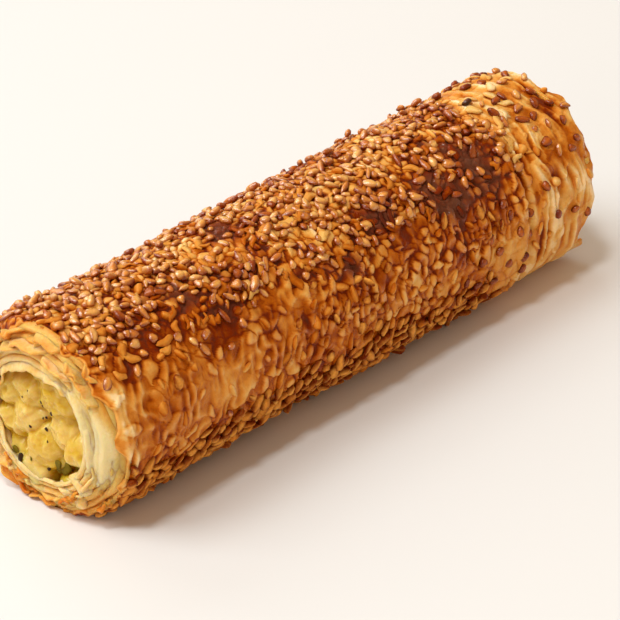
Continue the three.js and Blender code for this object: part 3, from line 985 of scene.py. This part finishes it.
def spiralSheet(end):
    columns = int(spiral["turns"] * spiral["columnsPerTurn"])
    turn = np.linspace(0, spiral["turns"], columns)
    deg = end["lead"] + 360 * turn
    share = 0.04 + 0.86 * turn / spiral["turns"]
    slow = rollGrain(turn * 7, deg, 3, 6.5, end["seed"])
    quick = rollGrain(turn * 9, deg, 2, 2.6, end["seed"] + 1)
    tear = fade(0.15, 0.4, rollGrain(turn * 8, deg, 3, 4.2, end["seed"] + 8)) * fade(0.3, 1.1, turn)
    tip = terrace(end, deg, share) - 0.9 + blend(spiral["tipWaves"], (slow, quick, tear))
    tip = np.clip(tip, 0.05, 9)
    if end["name"] == "near":
        tip += spiral["flapGap"] * bell((np.mod(deg, 360) - 82) / 32) ** 2
    out = np.linspace(0, 1, spiral["rows"])[:, None]
    x = inward(end, tip[None] + spiral["depth"] * (1 - out) ** 1.3)
    degs, turns = np.broadcast_to(deg, x.shape), np.broadcast_to(turn * 5, x.shape)
    wave = rollGrain(turns, degs, 2, 5.4, end["seed"] + 2)
    wave += 0.4 * rollGrain(turns, degs, 2, 2.2, end["seed"] + 3)
    upper = bell((np.mod(deg + 180 + 5, 360) - 180) / 52) * (1 - fade(0.6, 1.5, turn))
    hang = out ** 3 * spiral["hang"] * upper[None] * (0.8 + 1.2 * wave)
    radius = boreRadius + (wall + bulge(x, degs)) * share[None] + spiral["ruffle"] * out ** 2 * wave - hang
    sag = spiral["droop"] * (1 + 0.9 * slow[None]) * fade(-0.4, 0.6, np.cos(np.radians(degs)))
    radius -= sag * out ** 2.2
    crease = rollGrain(turns * 3 + out * 5, degs, 1.3, 2.2, end["seed"] + 4)
    radius += spiral["crease"] * crease * out
    bakeAndShade = 0.2 - 0.16 * fade(0.35, 0.85, out) + 0.32 * share[None] ** 2 + 0.05 * slow[None]
    bakeAndShade += 0.26 * out ** 8 * np.clip(0.1 + wave, 0, 1) * (0.3 + share[None])
    # painted shade: darker where the ruffle waves inward and in the creases, paler on their crests; the torn
    # edges are browner
    bakeAndShade = bakeAndShade + 0.22 * np.clip(-wave, 0, 1) * out - 0.08 * crease + 0.16 * tear[None] * out
    return sheetSolid(onRoll(x, degs, radius), spiral["thickness"] * (1 - 0.65 * out ** 3), bakeAndShade)


# the packed layers behind the free edges
packed = {"columns": 160, "rows": 26, "thickness": 0.8, "behind": 0.7, "layer": 1.5, "relief": 0.45}


def packedWall(end):
    deg = np.linspace(-180, 180, packed["columns"])[None]
    share = np.linspace(-0.06, 0.97, packed["rows"])[:, None]
    degs = np.broadcast_to(deg, (packed["rows"], packed["columns"]))
    wander = rollGrain(share * 8 + 0 * deg, degs, 2, 6, end["seed"] + 7)
    layers = np.sin(2 * np.pi * (share * wall / packed["layer"] + 0.35 * wander + deg / 360))
    back = terrace(end, degs, np.clip(share, 0, 1)) + packed["behind"] - packed["relief"] * layers
    x = inward(end, back + 0.5 * wander)
    radius = boreRadius + (wall + bulge(x, degs)) * share
    # painted shade: the recessed layers are darker, the proud ones paler
    bakeAndShade = 0.13 - 0.08 * layers + 0.2 * share + 0.06 * wander
    return sheetSolid(onRoll(x, degs, radius), packed["thickness"], bakeAndShade)


# the broad flap on the shown side of the near end, from lip to crust; ridges are place, width, height
flap = {
    "from": 26.0, "to": 128.0, "columns": 160, "rows": 48, "thickness": 0.6, "proud": 0.5,
    "ridges": [(0.1, 0.1, 0.9), (0.34, 0.06, 0.35), (0.52, 0.13, 1.2), (0.7, 0.05, 0.35),
               (0.88, 0.1, 0.5)],
}


def flapSheet(end):
    deg = np.linspace(flap["from"], flap["to"], flap["columns"])[None]
    part = np.linspace(0, 1, flap["rows"])[:, None]
    degs = np.broadcast_to(deg, (flap["rows"], flap["columns"]))
    held = np.sin(np.pi * (deg - flap["from"]) / (flap["to"] - flap["from"])) ** 0.6
    torn = roundGrain(degs, 3.4, 51) + 0.5 * roundGrain(degs, 1.6, 52)
    share = 0.03 + 0.1 * torn * (1 - part) ** 2 + 0.95 * part
    ridge = 0
    for number, (place, width, height) in enumerate(flap["ridges"]):
        wander = 0.07 * roundGrain(degs, 7, 55 + number)
        ridge += height * bell((part - place - wander) / width)
    depth = part * 6 + 0 * deg
    crease = rollGrain(depth, degs, 0.9, 8, 53) + 0.8 * rollGrain(part * 6 + 0.02 * deg, degs, 0.42, 7, 58)
    swell = rollGrain(depth, degs, 4, 9, 54)
    back = terrace(end, degs, np.clip(share, 0, 1)) - flap["proud"] * held + 1.6 * (1 - held)
    back = back + 0.5 - ridge * held * (1 + 0.5 * swell) - 0.5 * swell + 0.22 * crease
    back = back + 1.0 * (1 - fade(0, 0.08, part)) + 2.4 * part ** 8
    radius = boreRadius + wall * share + 0.2 * crease
    # painted light and shade of the folds: the ridges are paler, the creases and the recessed ends darker
    bakeAndShade = 0.06 - 0.13 * ridge + 0.28 * fade(0.66, 0.95, part) + 0.06 * crease + 0.25 * (1 - held)
    bakeAndShade += 0.34 * fade(0.3, 0.8, part) * (1 - fade(52, 88, degs))
    return sheetSolid(onRoll(inward(end, back), degs, radius), flap["thickness"], bakeAndShade)


# torn flakes round an end: small ones anywhere, and curls by angle, share of the wall, length, width, bake
flakes = {"near": 18, "far": 24, "rows": 8, "columns": 12, "thickness": 0.6}
curls = {
    "near": [
        (-34, 0.3, 3.0, 11, 0.04), (-8, 0.52, 3.4, 12, 0.08), (20, 0.34, 2.6, 9, 0.03),
        (34, 0.66, 3.2, 9, 0.12), (-52, 0.62, 3.2, 10, 0.1), (-24, 0.8, 3.2, 9, 0.16),
        (8, 0.84, 3.0, 8, 0.14), (40, 0.92, 2.6, 6, 0.2), (-70, 0.86, 3.0, 9, 0.14),
        (52, 0.5, 2.4, 7, 0.06),
    ],
    "far": [
        (133, 1.0, 4.0, 4.5, 0.18), (140, 0.9, 2.8, 6, 0.2), (-30, 0.5, 3.0, 10, 0.1),
        (-75, 0.4, 2.8, 9, 0.08), (60, 0.6, 2.6, 9, 0.12), (150, 0.55, 2.6, 9, 0.1),
    ],
}


def tornFlake(rng, end, deg=None, share=None, long=None, wide=None, tone=None):
    if deg is None:
        deg = rng.uniform(130, 240) if end["name"] == "near" else rng.uniform(0, 360)
        long, wide = rng.uniform(1.2, 2.3), rng.uniform(3.5, 8)
        share, tone = rng.uniform(0.25, 0.95), rng.uniform(0.1, 0.34)
    radius = boreRadius + (wall + bulge(end["x"], deg)) * share
    out = np.linspace(0, 1, flakes["rows"])[:, None]
    side = np.linspace(-0.5, 0.5, flakes["columns"])[None]
    degs = deg + np.degrees(side * wide * (1 - 0.75 * out * rng.uniform(0.3, 1)) / radius)
    ragged = 0.5 * rollGrain(out * 3 + 0 * degs, degs, 1, 1.3, int(rng.integers(99))) * out
    x = inward(end, terrace(end, degs, share) + 0.9 - long * out + ragged)
    reach = radius + 0.7 * rng.normal() * out ** 2 + 0.4 * np.sin(side * 7 + rng.uniform(0, 6)) * out
    grid = onRoll(x, degs, reach)
    grid[..., 2] = np.maximum(grid[..., 2], flakes["thickness"] / 2)
    return sheetSolid(grid, flakes["thickness"], tone + 0.15 * out ** 2 + 0 * degs)


# a rounded chunk: a ball cut by soft facets, which meet in sharper edges the higher the power is
facetEdge = 18


def lumpShape(centre, radius, seed, subdivisions, facets=10):
    shape = bmesh.new()
    bmesh.ops.create_icosphere(shape, subdivisions=subdivisions, radius=1.0)
    unit = np.array([v.co for v in shape.verts])
    faces = [[v.index for v in f.verts] for f in shape.faces]
    shape.free()
    rng = np.random.default_rng(seed)
    normals = rng.normal(size=(facets, 3))
    normals /= np.linalg.norm(normals, axis=1, keepdims=True)
    lean = np.clip(unit @ normals.T, 0, None) / rng.uniform(0.66, 1.0, size=facets)
    size = (np.sum(lean ** facetEdge, axis=1) + 0.84 ** facetEdge) ** (-1 / facetEdge)
    size = size + 0.09 * grain(unit * 1.7 + seed * 3.1, seed) + 0.05 * grain(unit * 4.5 + 20, seed + 5)
    size += 0.018 * grain(unit * 11 + 40, seed + 7)
    stretch = np.array([rng.uniform(0.8, 0.95), rng.uniform(0.95, 1.2), rng.uniform(0.85, 1.05)])
    turn = np.array(Matrix.Rotation(rng.uniform(0, 6), 3, "X"))
    return np.array(centre) + (unit * stretch * size[:, None] * radius) @ turn.T, faces, size


# soft dough lumps by the foot of the flap: across and up from the axis, radius, back from the tip
doughLumps = [
    (-10.6, -10.6, 2.9, 0.8), (-6.4, -13.4, 2.2, 1.0), (-13.6, -7.6, 1.8, 1.6), (-9.4, -14.8, 1.7, 1.6),
]


def makeSheets():
    for end in ends:
        rng = np.random.default_rng(end["seed"])
        shapes = [spiralSheet(end), packedWall(end)]
        shapes += [tornFlake(rng, end) for _ in range(flakes[end["name"]])]
        shapes += [tornFlake(rng, end, *place) for place in curls[end["name"]]]
        if end["name"] == "near":
            shapes.append(flapSheet(end))
            for number, (y, z, radius, back) in enumerate(doughLumps):
                centre = (inward(end, back + 0.7 * radius), axisY + y, axisZ + z)
                points, faces, size = lumpShape(centre, radius, 70 + number, 4)
                shapes.append((points, faces, 0.03 + 0.3 * (size - 1)))
        points, faces, bakes = joined(shapes)
        pastryPiece(end["name"] + "_end_sheets", points, faces, {"bakeAndShade": bakes}, sheetFinish)


makeSheets()

# potato at each end, as soft lumps that run together: across and up from the axis, radius, back from the lip
potato = {
    "rings": 84, "sectors": 200, "soft": 0.28, "lean": 0.15, "floor": 6.0, "rear": 10.0,
    "coreBack": 8.0, "coreSectors": 72, "grains": ((3.0, 0.35), (1.3, 0.3), (0.6, 0.14)),
}
lumps = {"near": [
    (4.4, 4.6, 5.6, 1.0), (-4.0, 6.6, 7.2, 1.0), (5.6, -1.4, 5.4, 0.6), (-5.6, -0.4, 5.4, 1.5),
    (-0.2, -6.6, 6.2, 0.3), (-10.6, -3.0, 4.9, 0.4), (2.6, -12.8, 5.4, 0.0), (10.4, 3.2, 5.0, 1.0),
    (10.0, -5.2, 5.4, 0.7), (8.4, -11.4, 4.6, 0.6), (-6.2, -13.2, 2.6, 1.6), (0.0, 11.0, 4.6, 2.0),
], "far": [
    (1.5, 6.5, 7.0, 0.6), (-7.5, 4.2, 4.8, 1.2), (8.8, 3.2, 5.0, 1.4), (-2.8, -3.6, 6.8, 0.2),
    (6.4, -3.6, 4.6, 0.9), (-10.4, -3.0, 3.8, 1.6), (-7.4, -10.2, 4.8, 0.9), (2.6, -10.6, 6.0, 0.5),
    (9.8, -7.6, 4.2, 1.3), (-5.0, 11.0, 4.0, 1.8), (9.6, 9.6, 3.6, 1.6),
]}


# faces over a stack of rings, closed at both ends
def stackFaces(rings, sides):
    last = (rings - 1) * sides
    caps = [list(range(sides))[::-1], list(range(last, last + sides))]
    return gridFaces(rings, sides, False, True) + caps


# how deep a lump lies at a place given in shares of its radius: flat on its crest, steep at its side
def lumpSide(share):
    inner = 1 - np.sqrt(1 - np.minimum(share, 0.9) ** 2.6)
    return inner + 2.2 * np.maximum(share - 0.9, 0)


def potatoFace(end):
    rng = np.random.default_rng(end["seed"])
    turn = np.linspace(0, 360, potato["sectors"], endpoint=False)
    out = np.linspace(0.01, 1, potato["rings"])[:, None]
    # the pastry round the potato is thinnest underneath
    limit = boreRadius + 2.4 * fade(0.3, 0.95, -np.cos(np.radians(turn)))
    place = onRoll(0 * out, turn, out * limit)
    flat = place.reshape(-1, 3)
    bend = np.stack([grain(flat / 2.6 + 30, end["seed"] + k) for k in (0, 1)], -1)
    bend = end["warp"] * bend.reshape(*place.shape[:2], 2)
    across, up = np.moveaxis(place[..., 1:] - (axisY, axisZ) + bend, -1, 0)
    soft, lean = potato["soft"], potato["lean"]
    # painted shade: the deep back, where no lump covers, starts at the darkest tone
    depths, tones = [np.full(across.shape, potato["floor"])], [0.05]
    for y, z, radius, back in lumps[end["name"]]:
        slopeY, slopeZ = lean * rng.normal(size=2)
        side = 1.05 * radius * lumpSide(np.hypot(across - y, up - z) / radius)
        depths.append(back + side + slopeY * (across - y) + slopeZ * (up - z))
        tones.append(rng.uniform(0.45, 0.75))
    shares = np.exp(-np.array(depths) / soft)
    depth = -soft * np.log(shares.sum(0))
    tone = np.tensordot(tones, shares, 1) / shares.sum(0)
    for size, height in potato["grains"]:
        depth += height * grain(flat / size + 60, end["seed"] + 9).reshape(depth.shape)
    # painted light and shade: paler on the lumps' crests, darker in the hollows
    tone += 0.45 * np.clip(blurred(depth, 6) - depth, -1.2, 0.8)
    if end["name"] == "near":
        # painted shade in the pocket under the herbs
        tone -= 0.6 * bell(np.hypot(across + 4.6, up + 10.6) / 2.0)
    depth = np.maximum(depth, 0)
    face = onRoll(inward(end, end["lip"] + depth), turn, out * limit)
    rear = [onRoll(inward(end, potato["rear"]), turn, limit * share) for share in (0.98, 0.4)]
    points = np.concatenate([face, np.array(rear)])
    faces = stackFaces(len(points), len(turn))
    if end["sign"] < 0:
        faces = [face[::-1] for face in faces]
    tone = np.concatenate([tone, np.zeros((2, len(turn)))])
    return points.reshape(-1, 3), faces, np.clip(tone, 0, 1).ravel()


# the mashed core that runs through the roll behind the lumps
def potatoCore():
    turn = np.linspace(0, 360, potato["coreSectors"], endpoint=False)
    rings = []
    for end, radii in ((ends[0], (0.05, 0.35, 0.7, 0.98)), (ends[1], (0.98, 0.7, 0.35, 0.05))):
        for radius in radii:
            rough = 0.7 * rollGrain(turn * 0 + radius * 30, turn, 5, 6, 61)
            rings.append(onRoll(inward(end, potato["coreBack"]) + rough, turn, boreRadius * radius))
    return np.array(rings).reshape(-1, 3), stackFaces(len(rings), len(turn)), 0.1


def makeFilling():
    fronts = [potatoFace(end) for end in ends]
    points, faces, tones = joined([*fronts, potatoCore()])
    piece = meshPiece("potato_filling", points, faces, {"tone": tones}, potatoFinish)
    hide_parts("filling")
    return [front[0] for front in fronts]


potatoFronts = makeFilling()

# pepper and herbs stuck to the potato: across and up from the axis, size; strays lie anywhere at both ends
specks = {"strays": 5, "strayReach": 12.4}
nearPepper = [
    (-2.6, 2.9, 0.42), (0.5, 4.2, 0.36), (2.3, -1.4, 0.34), (-0.7, -1.5, 0.4), (-1.7, -11.0, 0.5),
    (6.4, -10.6, 0.9), (0.4, 2.6, 0.36), (0.0, -0.4, 0.38),
]
nearHerbs = [(-5.3, -10.2, 1.3), (-4.2, -9.2, 1.0), (-6.6, -9.4, 0.9), (-3.4, -10.8, 0.8), (7.4, -9.6, 0.8)]


def stuckOn(front, end, y, z):
    offset = np.hypot(front[:, 1] - axisY - y, front[:, 2] - axisZ - z)
    close = front[offset < max(0.6, offset.min() + 0.1)]
    return close[np.argmin(end["sign"] * close[:, 0])]


def makeSpecks(name, placed, material, flat):
    shapes = []
    for number, (end, front, y, z, size) in enumerate(placed):
        points, faces, swell = lumpShape((0, 0, 0), size, 300 + number, 3, 7)
        points[:, 0] *= flat
        shapes.append((points + stuckOn(front, end, y, z), faces, swell))
    points, faces, _ = joined(shapes)
    piece = meshPiece(name, points, faces, {}, material)


def strays(rng, small, large):
    for end, front in zip(ends, potatoFronts):
        for _ in range(specks["strays"]):
            turn, reach = rng.uniform(0, 2 * np.pi), specks["strayReach"] * math.sqrt(rng.uniform())
            yield end, front, reach * math.cos(turn), reach * math.sin(turn), rng.uniform(small, large)


speckRng = np.random.default_rng(12)
pepper = [(ends[0], potatoFronts[0], *speck) for speck in nearPepper] + list(strays(speckRng, 0.15, 0.3))
herbs = [(ends[0], potatoFronts[0], *speck) for speck in nearHerbs] + list(strays(speckRng, 0.2, 0.5))[::3]
makeSpecks("pepper_specks", pepper, specksFinish("black_pepper", (0.06, 0.026, 0.008), 0.4), 0.6)
makeSpecks("herb_specks", herbs, specksFinish("green_herb", (0.22, 0.15, 0.004), 0.5), 0.45)

# the look of the set: pale floor, soft key from behind on the left; lamps are place, power, size, colour
stage = {"floor": (0.8, 0.776, 0.748), "reach": 3.0, "world": (1.0, 0.75, 0.51, 1), "worldPower": 0.45}
lamps = {
    "key": ((-1.06, 0.8, 1.73), 32.2, 1.2, (0.84, 0.935, 1.0)),
    "top": ((-0.68, -0.08, 1.98), 14.5, 0.3, (0.9, 0.96, 1.0)),
    "back": ((0.3, 1.6, 1.1), 9.5, 1.2, (0.86, 0.945, 1.0)),
    "left_fill": ((-2.2, -0.8, 0.9), 6.4, 0.9, (1.0, 0.93, 0.85)),
}


def floorPaint(wire):
    soft = wire.noise(60.0, 1.0)
    tone = tuple(c * 0.99 for c in stage["floor"])
    return {"Base Color": soft.mixed((*stage["floor"], 1), (*tone, 1))}


def makeStage():
    mesh = bpy.data.meshes.new("floor")
    corners = [(x * stage["reach"], y * stage["reach"], 0) for x, y in ((-1, -1), (1, -1), (1, 1), (-1, 1))]
    mesh.from_pydata(corners, [], [(0, 1, 2, 3)])
    mesh.materials.append(finish("pale_floor", floorPaint, {"Roughness": 0.7, "Specular IOR Level": 0.2}))
    floor = linked("floor", mesh)
    floor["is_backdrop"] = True
    world = bpy.data.worlds.new("studio")
    bpy.context.scene.world = world
    world.use_nodes = True
    background = world.node_tree.nodes["Background"].inputs
    background["Color"].default_value = stage["world"]
    background["Strength"].default_value = stage["worldPower"]


def makeLamp(name, place, power, size, colour):
    light = bpy.data.lights.new(name, "AREA")
    light.energy, light.size, light.color = power, size, colour
    holder = linked(name, light)
    holder.location = place
    towards = Vector((0, 0, axisZ * mm)) - holder.location
    holder.rotation_euler = towards.to_track_quat("-Z", "Y").to_euler()


# the camera: turned and raised from the front, with the focal length as pixels of a 620 pixel frame
view = {
    "azimuth": -47.4, "elevation": 31.0, "distance": 640.0, "focalPixels": 3000.0, "frame": 620.0,
    "right": 2.87, "up": -6.04,
}


def makeCamera():
    turn, rise = math.radians(view["azimuth"]), math.radians(view["elevation"])
    back = Vector((math.sin(turn) * math.cos(rise), -math.cos(turn) * math.cos(rise), math.sin(rise)))
    side = Vector((math.cos(turn), math.sin(turn), 0))
    above = back.cross(side)
    aim = Vector((0, axisY, axisZ)) + side * view["right"] + above * view["up"]
    camera = bpy.data.cameras.new("camera")
    camera.sensor_width = 36
    camera.lens = view["focalPixels"] / view["frame"] * camera.sensor_width
    camera.clip_start = 0.01
    holder = linked("camera", camera)
    holder.location = (aim + back * view["distance"]) * mm
    holder.rotation_euler = back.to_track_quat("Z", "Y").to_euler()
    bpy.context.scene.camera = holder


makeStage()
for name, lamp in lamps.items():
    makeLamp(name, *lamp)
makeCamera()
bpy.context.scene.view_settings.view_transform = "Standard"
print("stage and camera set")

[[list(corner) for corner in box] for box in (cadBox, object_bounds())]
